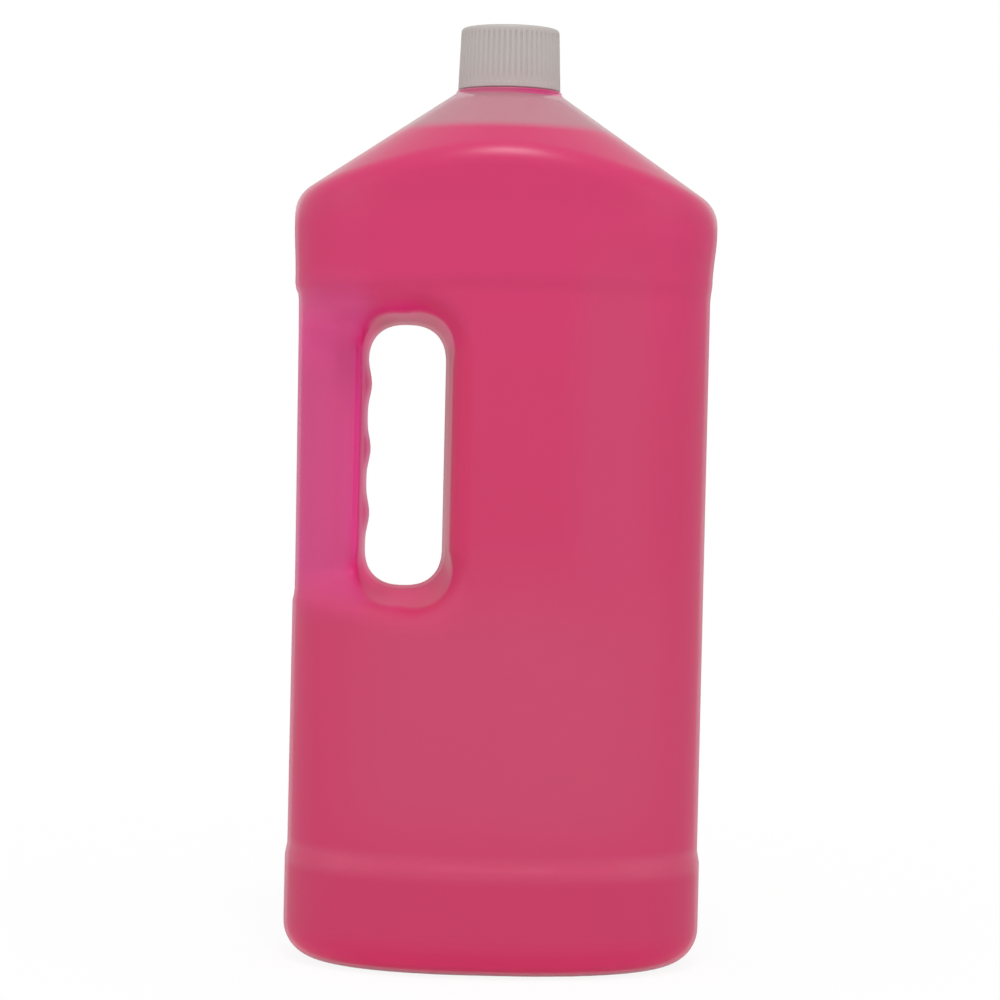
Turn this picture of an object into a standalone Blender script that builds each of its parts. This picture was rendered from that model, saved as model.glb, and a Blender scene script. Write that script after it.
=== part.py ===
"""A two litre cleaner bottle: blow-moulded body with a handle, ribbed screw cap, liner and fluid.

Metres, +Z up. The bottle stands on its base at z = 0 with the neck on the Z axis.
The broad front faces -Y and the handle is on the -X side.
"""

import math

import bpy
from mathutils import Matrix, Vector

# Body, seen from the front
BODY_HALF_WIDTH = 0.0642
BODY_HALF_DEPTH = 0.0446
PLAN_EXPONENT = 2.2
BASE_BAND_PROUD = 0.0007
BASE_BAND_TOP = 0.0312
BASE_BAND_BLEND = 0.0050
SHOULDER_BAND_PROUD = 0.0012
SHOULDER_BAND_BOTTOM = 0.2065
SHOULDER_BAND_BLEND = 0.0060
SHOULDER_BULGE = 0.0005
SHOULDER_BULGE_BLEND = 0.0150

# Base
BASE_CORNER_RADIUS = 0.0110
STAND_RING_WIDTH = 0.0050
PUSH_UP_SLOPE_WIDTH = 0.0040
PUSH_UP_HEIGHT = 0.0025

# Shoulder
SHOULDER_TOP_Z = 0.2695
SHOULDER_TOP_RADIUS = 0.0168
SHOULDER_SLOPE = math.radians(34.4)
SHOULDER_EDGE_RADIUS = 0.0100

# Walls
WALL = 0.0011
NECK_ROOT_WALL = 0.0026
NECK_ROOT_RISE = 0.0012

# Neck finish, a 28 mm screw neck
NECK_RADIUS = 0.0126
NECK_WALL = 0.0017
NECK_LEDGE_RISE = 0.0011
NECK_LEDGE_ROUND = 0.0008
NECK_HEIGHT = 0.0164
NECK_LIP_CHAMFER = 0.0005
THREAD_PITCH = 0.00423
THREAD_HEIGHT = 0.0011
THREAD_ROOT_WIDTH = 0.0020
THREAD_CREST_WIDTH = 0.0010
NECK_THREAD_TURNS = 1.75
NECK_THREAD_START = 0.0059
CAP_THREAD_TURNS = 1.5
THREAD_RUN_OUT_TURNS = 0.12
THREAD_SINK = 0.0004
THREAD_START_ANGLE = math.radians(4)

# Handle and its finger hole
HANDLE_WIDTH = 0.0222
HANDLE_HALF_DEPTH_SHARE = 0.62
HANDLE_SIDE_INSET = 0.0006
HANDLE_SIDE_TOP_Z = 0.2065
HANDLE_SIDE_BOTTOM_Z = 0.1105
HANDLE_SIDE_BLEND = 0.0035
HANDLE_TOP_Z = 0.2055
HANDLE_BOTTOM_Z = 0.1085
HANDLE_TOP_BLEND = 0.0110
HANDLE_BOTTOM_BLEND = 0.0130
HANDLE_INNER_BLEND = 0.0150
HOLE_WIDTH = 0.0241
HOLE_HEIGHT = 0.0812
HOLE_CENTRE_Z = 0.1568
HOLE_BODY_SIDE_FLARE = 0.0034
HOLE_TOP_FLARE = 0.0030
HOLE_BOTTOM_FLARE = 0.0062
HOLE_RIM_FLARE = 0.0030
HOLE_RIM_DEPTH = 0.0060
HANDLE_ROUNDING = 0.0050
HANDLE_ROUNDING_DEPTH = 0.0160
GRIP_RIDGE_HEIGHT = 0.0012
GRIP_PITCH = 0.0192
GRIP_RIDGES = 3
GRIP_SHARPNESS = 1.6
GRIP_FADE_DEPTH = 0.0110

# Cap
CAP_WALL = 0.00093
CAP_DRAFT = 0.00065
CAP_TOP_THICKNESS = 0.0015
CAP_EDGE_RADIUS = 0.0011
CAP_BAND_HEIGHT = 0.0016
CAP_TOP_PLAIN_HEIGHT = 0.0020
CAP_THREAD_CLEARANCE = 0.00035
CAP_LEDGE_GAP = 0.0003
CAP_LEAD_IN = 0.0006
RIB_COUNT = 56
RIB_DEPTH = 0.00032
RIB_FADE = 0.0003

# Liner and fluid
LINER_THICKNESS = 0.0011
LINER_EDGE_CLEARANCE = 0.0003
SEAT_GAP = 0.0003
FLUID_LEVEL_Z = 0.2580
FLUID_GAP = 0.0004

# Facets
BODY_SEGMENTS = 64
ROUND_SEGMENTS = 48
CORNER_STEPS = 5
EDGE_STEPS = 4
CAP_EDGE_STEPS = 2
THREAD_STEPS_PER_TURN = 24
RIB_POINTS = 3
HOLE_ARC_STEPS = 9
HOLE_SIDE_STEPS = 3
GRIP_STEPS = 18
HOLE_STATIONS = 6
HOLE_RIM_STATIONS = 3
BAND_RINGS = 3
LEAST_RING_SPACING = 0.0004
HANDLE_BOTTOM_RINGS = 6
HANDLE_TOP_RINGS = 5
TANGENT_SHARE = 0.25
SMOOTH_ANGLE = math.radians(40)
MERGE_DISTANCE = 0.00001
CUT_PAST = 0.0080

# Plain finishes: colour, roughness and opacity
SHELL_FINISH = ((0.86, 0.80, 0.80), 0.38, 0.45)
FLUID_FINISH = ((0.80, 0.04, 0.17), 0.08, 1.0)
CAP_FINISH = ((0.74, 0.71, 0.70), 0.45, 1.0)
LINER_FINISH = ((0.90, 0.89, 0.87), 0.80, 1.0)

# Worked out from the sizes above
HANDLE_INNER_X = HANDLE_WIDTH - BODY_HALF_WIDTH
HOLE_CENTRE_X = HANDLE_INNER_X + HOLE_WIDTH / 2
LEDGE_Z = SHOULDER_TOP_Z + NECK_LEDGE_RISE
NECK_TOP_Z = LEDGE_Z + NECK_HEIGHT
CAP_BOTTOM_Z = LEDGE_Z + CAP_LEDGE_GAP
NECK_BORE_RADIUS = NECK_RADIUS - NECK_WALL
CAP_BORE_RADIUS = NECK_RADIUS + THREAD_HEIGHT + CAP_THREAD_CLEARANCE
CAP_TOP_RADIUS = CAP_BORE_RADIUS + CAP_WALL + RIB_DEPTH
CAP_BOTTOM_RADIUS = CAP_TOP_RADIUS + CAP_DRAFT
LINER_BOTTOM_Z = NECK_TOP_Z + SEAT_GAP
CAP_CEILING_Z = LINER_BOTTOM_Z + LINER_THICKNESS + SEAT_GAP
CAP_TOP_Z = CAP_CEILING_Z + CAP_TOP_THICKNESS


def smooth_step(value):
    """0 below 0, 1 above 1, and a soft S between."""
    value = min(max(value, 0.0), 1.0)
    return value * value * (3 - 2 * value)


def signed_power(value, power):
    return math.copysign(abs(value) ** power, value)


def plan_direction(turn):
    """Unit superellipse point at a turn from 0 to 1, counter-clockwise from +X."""
    angle = 2 * math.pi * turn
    power = 2 / PLAN_EXPONENT
    return signed_power(math.cos(angle), power), signed_power(math.sin(angle), power)


def proud(z):
    """How far the wall stands out of the label panel's face at this height."""
    base = smooth_step((BASE_BAND_TOP + BASE_BAND_BLEND - z) / BASE_BAND_BLEND)
    band = smooth_step((z - SHOULDER_BAND_BOTTOM) / SHOULDER_BAND_BLEND)
    bulge_start = SHOULDER_BAND_BOTTOM + SHOULDER_BAND_BLEND
    bulge = smooth_step((z - bulge_start) / SHOULDER_BULGE_BLEND)
    return BASE_BAND_PROUD * base + SHOULDER_BAND_PROUD * band + SHOULDER_BULGE * bulge


def handle_share(z):
    """1 along the handle, 0 above and below it."""
    top = smooth_step((HANDLE_TOP_Z - z) / HANDLE_TOP_BLEND)
    bottom = smooth_step((z - HANDLE_BOTTOM_Z) / HANDLE_BOTTOM_BLEND)
    return top * bottom


def side_share(z):
    """1 where the handle's outer side is set in, 0 above and below it."""
    top = smooth_step((HANDLE_SIDE_TOP_Z - z) / HANDLE_SIDE_BLEND)
    bottom = smooth_step((z - HANDLE_SIDE_BOTTOM_Z) / HANDLE_SIDE_BLEND)
    return top * bottom


def outer_plan(turn, z):
    """Outer wall point at this height, thinned and set in along the handle."""
    ux, uy = plan_direction(turn)
    half_width = BODY_HALF_WIDTH + proud(z)
    half_depth = BODY_HALF_DEPTH + proud(z)
    x = ux * half_width
    y = uy * half_depth
    side = smooth_step((HANDLE_INNER_X + HANDLE_INNER_BLEND / 2 - x) / HANDLE_INNER_BLEND)
    thinning = 1 - (1 - HANDLE_HALF_DEPTH_SHARE) * handle_share(z) * side
    return Vector((x + HANDLE_SIDE_INSET * side_share(z) * side, y * thinning, z))


def wall_ring(z, inset):
    """Ring of the wall at height z, moved inward by inset square to the outline."""
    step = TANGENT_SHARE / BODY_SEGMENTS
    ring = []
    for index in range(BODY_SEGMENTS):
        turn = index / BODY_SEGMENTS
        along = outer_plan(turn + step, z) - outer_plan(turn - step, z)
        outward = Vector((along.y, -along.x, 0)).normalized()
        ring.append(outer_plan(turn, z) - outward * inset)
    return ring


def base_ring(inset, z):
    """Ring of the base, inset from the base band's outline."""
    half_width = BODY_HALF_WIDTH + BASE_BAND_PROUD - inset
    half_depth = BODY_HALF_DEPTH + BASE_BAND_PROUD - inset
    ring = []
    for index in range(BODY_SEGMENTS):
        ux, uy = plan_direction(index / BODY_SEGMENTS)
        ring.append(Vector((ux * half_width, uy * half_depth, z)))
    return ring


def round_ring(radius, z):
    """Circle about the neck's axis, with its points in the body's directions."""
    ring = []
    for index in range(BODY_SEGMENTS):
        ux, uy = plan_direction(index / BODY_SEGMENTS)
        direction = Vector((ux * BODY_HALF_WIDTH, uy * BODY_HALF_DEPTH, 0)).normalized()
        ring.append(direction * radius + Vector((0, 0, z)))
    return ring


def shoulder_ring(tilt, inset):
    """Ring of the rounded shoulder edge; tilt runs from 0 at the wall to 1 at the slope."""
    top = SHOULDER_BAND_PROUD + SHOULDER_BULGE
    angle = tilt * (math.pi / 2 - SHOULDER_SLOPE)
    ring = []
    for index in range(BODY_SEGMENTS):
        ux, uy = plan_direction(index / BODY_SEGMENTS)
        wall = Vector((ux * (BODY_HALF_WIDTH + top), uy * (BODY_HALF_DEPTH + top), 0))
        centre_radius = wall.length - SHOULDER_EDGE_RADIUS
        fall = (centre_radius - SHOULDER_TOP_RADIUS) * math.tan(SHOULDER_SLOPE)
        centre_z = SHOULDER_TOP_Z - fall - SHOULDER_EDGE_RADIUS / math.cos(SHOULDER_SLOPE)
        reach = SHOULDER_EDGE_RADIUS - inset
        radius = centre_radius + reach * math.cos(angle)
        point = wall.normalized() * radius
        point.z = centre_z + reach * math.sin(angle)
        ring.append(point)
    return ring


def slope_radius(z, inset):
    """Radius at which the shoulder's slope, moved in by inset, has this height."""
    fall = SHOULDER_TOP_Z - inset / math.cos(SHOULDER_SLOPE) - z
    return SHOULDER_TOP_RADIUS + fall / math.tan(SHOULDER_SLOPE)


def spread(low, high, count):
    """count heights from low to high, both included."""
    return [low + (high - low) * index / (count - 1) for index in range(count)]


def wall_heights():
    """Heights of the wall's rings, closer together where the wall turns."""
    handle_bottom_end = HANDLE_BOTTOM_Z + HANDLE_BOTTOM_BLEND
    side_bottom_end = HANDLE_SIDE_BOTTOM_Z + HANDLE_SIDE_BLEND
    band_end = SHOULDER_BAND_BOTTOM + SHOULDER_BAND_BLEND
    heights = spread(BASE_BAND_TOP, BASE_BAND_TOP + BASE_BAND_BLEND, BAND_RINGS)
    heights += spread(HANDLE_BOTTOM_Z, handle_bottom_end, HANDLE_BOTTOM_RINGS)
    heights += spread(HANDLE_TOP_Z - HANDLE_TOP_BLEND, HANDLE_TOP_Z, HANDLE_TOP_RINGS)
    heights += spread(HANDLE_SIDE_BOTTOM_Z, side_bottom_end, BAND_RINGS)
    heights += spread(HANDLE_SIDE_TOP_Z - HANDLE_SIDE_BLEND, HANDLE_SIDE_TOP_Z, BAND_RINGS)
    heights += spread(SHOULDER_BAND_BOTTOM, band_end, BAND_RINGS)
    heights.sort()
    kept = [heights[0]]
    for height in heights[1:]:
        if height - kept[-1] > LEAST_RING_SPACING:
            kept.append(height)
    return kept


def body_rings(inset):
    """Rings from the base's middle up to the edge of the shoulder's slope."""
    ring_inset = BASE_CORNER_RADIUS + STAND_RING_WIDTH
    rings = [
        base_ring(ring_inset + PUSH_UP_SLOPE_WIDTH, PUSH_UP_HEIGHT + inset),
        base_ring(ring_inset, inset),
    ]
    for step in range(CORNER_STEPS + 1):
        angle = math.pi / 2 * (1 - step / CORNER_STEPS)
        reach = BASE_CORNER_RADIUS - inset
        corner_inset = BASE_CORNER_RADIUS - reach * math.cos(angle)
        rings.append(base_ring(corner_inset, BASE_CORNER_RADIUS - reach * math.sin(angle)))
    rings += [wall_ring(z, inset) for z in wall_heights()]
    rings += [shoulder_ring(step / EDGE_STEPS, inset) for step in range(EDGE_STEPS + 1)]
    return rings


def outer_rings():
    """The whole outside, from the base's middle to the lip of the neck."""
    ledge_radius = SHOULDER_TOP_RADIUS - NECK_LEDGE_ROUND
    return body_rings(0.0) + [
        round_ring(SHOULDER_TOP_RADIUS, SHOULDER_TOP_Z),
        round_ring(ledge_radius, LEDGE_Z),
        round_ring(NECK_RADIUS, LEDGE_Z),
        round_ring(NECK_RADIUS, NECK_TOP_Z - NECK_LIP_CHAMFER),
        round_ring(NECK_RADIUS - NECK_LIP_CHAMFER, NECK_TOP_Z),
    ]


def inner_rings(inset, top_z):
    """The inside, from the base's middle to the bore, which ends at top_z."""
    root_z = LEDGE_Z - NECK_ROOT_WALL
    return body_rings(inset) + [
        round_ring(slope_radius(root_z, inset), root_z),
        round_ring(NECK_BORE_RADIUS, root_z + NECK_ROOT_RISE),
        round_ring(NECK_BORE_RADIUS, top_z),
    ]


def grip_wave(z):
    """How far the finger ridges reach into the hole at this height above its middle."""
    if abs(z) > GRIP_PITCH * GRIP_RIDGES / 2:
        return 0.0
    wave = 0.5 + 0.5 * math.cos(2 * math.pi * z / GRIP_PITCH)
    return GRIP_RIDGE_HEIGHT * wave ** GRIP_SHARPNESS


def hole_outline(y):
    """Points of the undrafted hole at depth y, each with its outward direction."""
    grip_share = smooth_step(1 - abs(y) / GRIP_FADE_DEPTH)
    radius = HOLE_WIDTH / 2
    straight = HOLE_HEIGHT / 2 - radius
    outline = []
    for step in range(HOLE_SIDE_STEPS):
        z = straight * (2 * step / HOLE_SIDE_STEPS - 1)
        outline.append(((radius, z), (1.0, 0.0)))
    for step in range(HOLE_ARC_STEPS):
        angle = math.pi * step / HOLE_ARC_STEPS
        direction = (math.cos(angle), math.sin(angle))
        outline.append(((radius * direction[0], straight + radius * direction[1]), direction))
    for step in range(GRIP_STEPS):
        z = straight * (1 - 2 * step / GRIP_STEPS)
        outline.append(((grip_wave(z) * grip_share - radius, z), (-1.0, 0.0)))
    for step in range(HOLE_ARC_STEPS):
        angle = math.pi * (1 + step / HOLE_ARC_STEPS)
        direction = (math.cos(angle), math.sin(angle))
        outline.append(((radius * direction[0], radius * direction[1] - straight), direction))
    return outline


def hole_ring(y, grow):
    """Section of the hole at depth y, with its draft, its rounded rims and an even growth."""
    depth = abs(y) / BODY_HALF_DEPTH
    rim_start = BODY_HALF_DEPTH - HOLE_RIM_DEPTH
    rim = HOLE_RIM_FLARE * max(0.0, (abs(y) - rim_start) / HOLE_RIM_DEPTH) ** 2
    handle_flare = HANDLE_ROUNDING * min(1.0, abs(y) / HANDLE_ROUNDING_DEPTH) ** 2
    ring = []
    for (x, z), (right, up) in hole_outline(y):
        sideways = HOLE_BODY_SIDE_FLARE * depth + rim if right > 0 else handle_flare
        upward = (HOLE_TOP_FLARE if up > 0 else HOLE_BOTTOM_FLARE) * depth + rim
        dx = right * (grow + sideways)
        dz = up * (grow + upward)
        ring.append(Vector((HOLE_CENTRE_X + x + dx, y, HOLE_CENTRE_Z + z + dz)))
    return ring


def hole_rings(grow):
    """Sections of the hole from behind the back to before the front."""
    rim_start = BODY_HALF_DEPTH - HOLE_RIM_DEPTH
    depths = spread(0.0, rim_start, HOLE_STATIONS)
    depths += spread(rim_start, BODY_HALF_DEPTH, HOLE_RIM_STATIONS)[1:]
    depths.append(BODY_HALF_DEPTH + CUT_PAST)
    stations = list(reversed(depths)) + [-depth for depth in depths[1:]]
    return [hole_ring(y, grow) for y in stations]


def rib_ring(radius, z, depth):
    """Ring of the cap with a groove after each rib; depth 0 makes it round."""
    points = RIB_COUNT * RIB_POINTS
    ring = []
    for index in range(points):
        angle = 2 * math.pi * index / points
        local = radius - (depth if index % RIB_POINTS == 0 else 0.0)
        ring.append(Vector((local * math.cos(angle), local * math.sin(angle), z)))
    return ring


def cap_rings():
    """Outside of the cap: plain lower band, ribs, plain edge and rounded top."""
    rib_bottom = CAP_BOTTOM_Z + CAP_BAND_HEIGHT
    rib_top = CAP_TOP_Z - CAP_TOP_PLAIN_HEIGHT
    edge_z = CAP_TOP_Z - CAP_EDGE_RADIUS

    def radius_at(z):
        share = (z - CAP_BOTTOM_Z) / (edge_z - CAP_BOTTOM_Z)
        return CAP_BOTTOM_RADIUS + (CAP_TOP_RADIUS - CAP_BOTTOM_RADIUS) * share

    rings = [
        rib_ring(CAP_BOTTOM_RADIUS, CAP_BOTTOM_Z, 0.0),
        rib_ring(radius_at(rib_bottom), rib_bottom, 0.0),
        rib_ring(radius_at(rib_bottom + RIB_FADE), rib_bottom + RIB_FADE, RIB_DEPTH),
        rib_ring(radius_at(rib_top - RIB_FADE), rib_top - RIB_FADE, RIB_DEPTH),
        rib_ring(radius_at(rib_top), rib_top, 0.0),
    ]
    for step in range(CAP_EDGE_STEPS + 1):
        angle = math.pi / 2 * step / CAP_EDGE_STEPS
        radius = CAP_TOP_RADIUS - CAP_EDGE_RADIUS * (1 - math.cos(angle))
        rings.append(rib_ring(radius, edge_z + CAP_EDGE_RADIUS * math.sin(angle), 0.0))
    return rings


def new_object(name, mesh, collection):
    obj = bpy.data.objects.new(name, mesh)
    collection.objects.link(obj)
    return obj


def loft(name, rings, collection):
    """Closed solid through rings of equal length, with a flat face at each end.

    Every four-sided patch is split the same way, so nested solids keep their gap.
    """
    count = len(rings[0])
    points = [point for ring in rings for point in ring]
    faces = [tuple(reversed(range(count)))]
    for level in range(len(rings) - 1):
        low = level * count
        high = low + count
        for index in range(count):
            after = (index + 1) % count
            faces.append((low + index, low + after, high + after))
            faces.append((low + index, high + after, high + index))
    faces.append(tuple(range(len(points) - count, len(points))))
    mesh = bpy.data.meshes.new(name)
    mesh.from_pydata(points, [], faces)
    mesh.shade_smooth()
    mesh.set_sharp_from_angle(angle=SMOOTH_ANGLE)
    return new_object(name, mesh, collection)


def thread(name, root_radius, outward, start_z, turns, collection):
    """Screw thread as one helical ridge whose two ends run out into the wall.

    outward is 1 for a thread on the outside of a tube and -1 for one inside it.
    """
    steps = round(turns * THREAD_STEPS_PER_TURN)
    rings = []
    for step in range(steps + 1):
        turn = turns * step / steps
        run_out = min(turn, turns - turn) / THREAD_RUN_OUT_TURNS
        risen = smooth_step(run_out)
        height = THREAD_HEIGHT * risen - THREAD_SINK / 2 * (1 - risen)
        angle = THREAD_START_ANGLE + 2 * math.pi * turn
        direction = Vector((math.cos(angle), math.sin(angle), 0))
        middle = start_z + THREAD_PITCH * turn
        sunk = root_radius - THREAD_SINK * outward
        crest = root_radius + height * outward
        section = [
            (sunk, THREAD_ROOT_WIDTH / 2),
            (crest, THREAD_CREST_WIDTH / 2),
            (crest, -THREAD_CREST_WIDTH / 2),
            (sunk, -THREAD_ROOT_WIDTH / 2),
        ]
        if outward < 0:
            section.reverse()
        rings.append([direction * radius + Vector((0, 0, middle + z)) for radius, z in section])
    return loft(name, rings, collection)


def turned(name, profile, collection):
    """Solid of revolution; the profile runs from the axis at the top, down to the axis below."""
    mesh = bpy.data.meshes.new(name)
    edges = [(index, index + 1) for index in range(len(profile) - 1)]
    mesh.from_pydata([(radius, 0, z) for radius, z in profile], edges, [])
    obj = new_object(name, mesh, collection)
    screw = obj.modifiers.new("Turn", "SCREW")
    screw.steps = ROUND_SEGMENTS
    screw.render_steps = ROUND_SEGMENTS
    screw.use_merge_vertices = True
    screw.merge_threshold = MERGE_DISTANCE
    return obj


def block(name, low, high, collection):
    """Axis-aligned box between two corners."""
    bpy.ops.mesh.primitive_cube_add(size=1)
    obj = bpy.context.object
    obj.name = name
    size = Vector(high) - Vector(low)
    middle = (Vector(high) + Vector(low)) / 2
    obj.data.transform(Matrix.Translation(middle) @ Matrix.Diagonal((*size, 1)))
    for owner in list(obj.users_collection):
        owner.objects.unlink(obj)
    collection.objects.link(obj)
    return obj


def combine(obj, other, operation):
    """Boolean modifier with the exact solver."""
    modifier = obj.modifiers.new(other.name, "BOOLEAN")
    modifier.operation = operation
    modifier.solver = "EXACT"
    modifier.object = other


def set_origin(obj, point):
    """Move the object's origin without moving its mesh."""
    obj.data.transform(Matrix.Translation(-point))
    obj.location = point


def finish(obj, colour, roughness, alpha):
    """Give the piece its own plastic, foam or liquid material."""
    material = bpy.data.materials.new(obj.name)
    material.use_nodes = True
    shader = material.node_tree.nodes["Principled BSDF"]
    shader.inputs["Base Color"].default_value = (*colour, 1.0)
    shader.inputs["Roughness"].default_value = roughness
    shader.inputs["Metallic"].default_value = 0.0
    shader.inputs["Alpha"].default_value = alpha
    obj.data.materials.append(material)


def build_bottle(parts, cutters):
    """One blow-moulded shell: body, hollow handle around its hole, and threaded neck."""
    bottle = loft("bottle", outer_rings(), parts)
    hole = loft("hole_cutter", hole_rings(0.0), cutters)
    cavity = loft("cavity_cutter", inner_rings(WALL, NECK_TOP_Z + CUT_PAST), cutters)
    post = loft("cavity_post", hole_rings(WALL), cutters)
    combine(cavity, post, "DIFFERENCE")
    ridge = thread(
        "neck_thread", NECK_RADIUS, 1, LEDGE_Z + NECK_THREAD_START, NECK_THREAD_TURNS, cutters
    )
    combine(bottle, hole, "DIFFERENCE")
    combine(bottle, ridge, "UNION")
    combine(bottle, cavity, "DIFFERENCE")
    finish(bottle, *SHELL_FINISH)
    return bottle


def build_fluid(parts, cutters):
    """The fill, a little clear of the walls, with a flat top at its level."""
    inset = WALL + FLUID_GAP
    fluid = loft("cleaning_fluid", inner_rings(inset, NECK_TOP_Z), parts)
    post = loft("fluid_post", hole_rings(inset), cutters)
    reach = BODY_HALF_WIDTH + CUT_PAST
    above = block(
        "fluid_level", (-reach, -reach, FLUID_LEVEL_Z), (reach, reach, NECK_TOP_Z + CUT_PAST), cutters
    )
    combine(fluid, post, "DIFFERENCE")
    combine(fluid, above, "DIFFERENCE")
    finish(fluid, *FLUID_FINISH)
    return fluid


def build_cap(parts, cutters):
    """Ribbed screw cap with its thread half a pitch from the neck's."""
    cap = loft("cap", cap_rings(), parts)
    bore = turned(
        "cap_bore",
        [
            (0, CAP_CEILING_Z),
            (CAP_BORE_RADIUS, CAP_CEILING_Z),
            (CAP_BORE_RADIUS, CAP_BOTTOM_Z + CAP_LEAD_IN),
            (CAP_BORE_RADIUS + CAP_LEAD_IN, CAP_BOTTOM_Z),
            (CAP_BORE_RADIUS + CAP_LEAD_IN, CAP_BOTTOM_Z - CUT_PAST),
            (0, CAP_BOTTOM_Z - CUT_PAST),
        ],
        cutters,
    )
    ridge = thread(
        "cap_thread",
        CAP_BORE_RADIUS,
        -1,
        LEDGE_Z + NECK_THREAD_START - THREAD_PITCH / 2,
        CAP_THREAD_TURNS,
        cutters,
    )
    combine(cap, bore, "DIFFERENCE")
    combine(cap, ridge, "UNION")
    finish(cap, *CAP_FINISH)
    set_origin(cap, Vector((0, 0, CAP_BOTTOM_Z)))
    return cap


def build_liner(parts):
    """Foam wad between the lip of the neck and the cap's ceiling."""
    bpy.ops.mesh.primitive_cylinder_add(
        vertices=ROUND_SEGMENTS,
        radius=CAP_BORE_RADIUS - LINER_EDGE_CLEARANCE,
        depth=LINER_THICKNESS,
        location=(0, 0, LINER_BOTTOM_Z + LINER_THICKNESS / 2),
    )
    liner = bpy.context.object
    liner.name = "cap_liner"
    liner.data.set_sharp_from_angle(angle=SMOOTH_ANGLE)
    for owner in list(liner.users_collection):
        owner.objects.unlink(liner)
    parts.objects.link(liner)
    finish(liner, *LINER_FINISH)
    return liner


def main():
    for obj in list(bpy.data.objects):
        bpy.data.objects.remove(obj)
    parts = bpy.data.collections.new("tile_cleaner_bottle")
    cutters = bpy.data.collections.new("cutters")
    for collection in (parts, cutters):
        bpy.context.scene.collection.children.link(collection)
    build_bottle(parts, cutters)
    build_fluid(parts, cutters)
    build_cap(parts, cutters)
    build_liner(parts)
    for cutter in cutters.objects:
        cutter.hide_render = True
        cutter.display_type = "WIRE"


main()
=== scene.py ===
"""Looks of the two litre cleaner bottle, built around its packed construction model.

Metres, +Z up, front towards -Y, handle towards -X, in the model's own frame.
"""

import math

import bpy
import numpy as np
from mathutils import Matrix, Vector


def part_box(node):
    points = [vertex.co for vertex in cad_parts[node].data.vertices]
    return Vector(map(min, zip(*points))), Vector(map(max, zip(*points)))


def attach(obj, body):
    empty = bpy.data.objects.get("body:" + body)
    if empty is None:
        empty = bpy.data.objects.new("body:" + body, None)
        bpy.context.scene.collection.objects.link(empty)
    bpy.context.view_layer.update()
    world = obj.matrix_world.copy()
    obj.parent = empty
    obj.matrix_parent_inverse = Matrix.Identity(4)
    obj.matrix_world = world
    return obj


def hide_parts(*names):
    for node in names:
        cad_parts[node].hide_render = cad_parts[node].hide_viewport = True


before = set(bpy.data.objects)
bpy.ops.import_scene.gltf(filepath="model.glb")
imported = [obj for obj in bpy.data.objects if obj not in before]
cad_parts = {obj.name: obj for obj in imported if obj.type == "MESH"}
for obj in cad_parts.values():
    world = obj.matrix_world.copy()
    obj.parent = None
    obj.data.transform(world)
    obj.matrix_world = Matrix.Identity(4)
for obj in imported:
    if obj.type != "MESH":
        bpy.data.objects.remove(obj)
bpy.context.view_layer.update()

bl_info = {
    "name": "Cleaner Bottle Finish",
    "version": (1, 0, 0),
    "blender": (4, 5, 0),
    "location": "View3D > Sidebar > Bottle",
    "description": "Dresses a moulded cleaner bottle, its fluid, cap and liner, and lights it",
    "category": "Object",
}

BOTTLE_LOW, BOTTLE_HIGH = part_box("bottle")
CAP_LOW, CAP_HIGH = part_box("cap")
LINER_LOW, LINER_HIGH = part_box("cap_liner")
FLUID_LOW, FLUID_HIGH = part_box("cleaning_fluid")


def length(name, description, default, low=0.0):
    """A length property in metres."""
    return bpy.props.FloatProperty(
        name=name, description=description, default=default, min=low, unit="LENGTH", precision=5
    )


def tint(name, description, default):
    """A colour property, linear RGB."""
    return bpy.props.FloatVectorProperty(
        name=name, description=description, default=default, size=3, min=0, max=1, subtype="COLOR"
    )


def amount(name, description, default, low=0.0, high=1.0):
    """A plain number property."""
    return bpy.props.FloatProperty(
        name=name, description=description, default=default, min=low, max=high
    )


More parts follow.
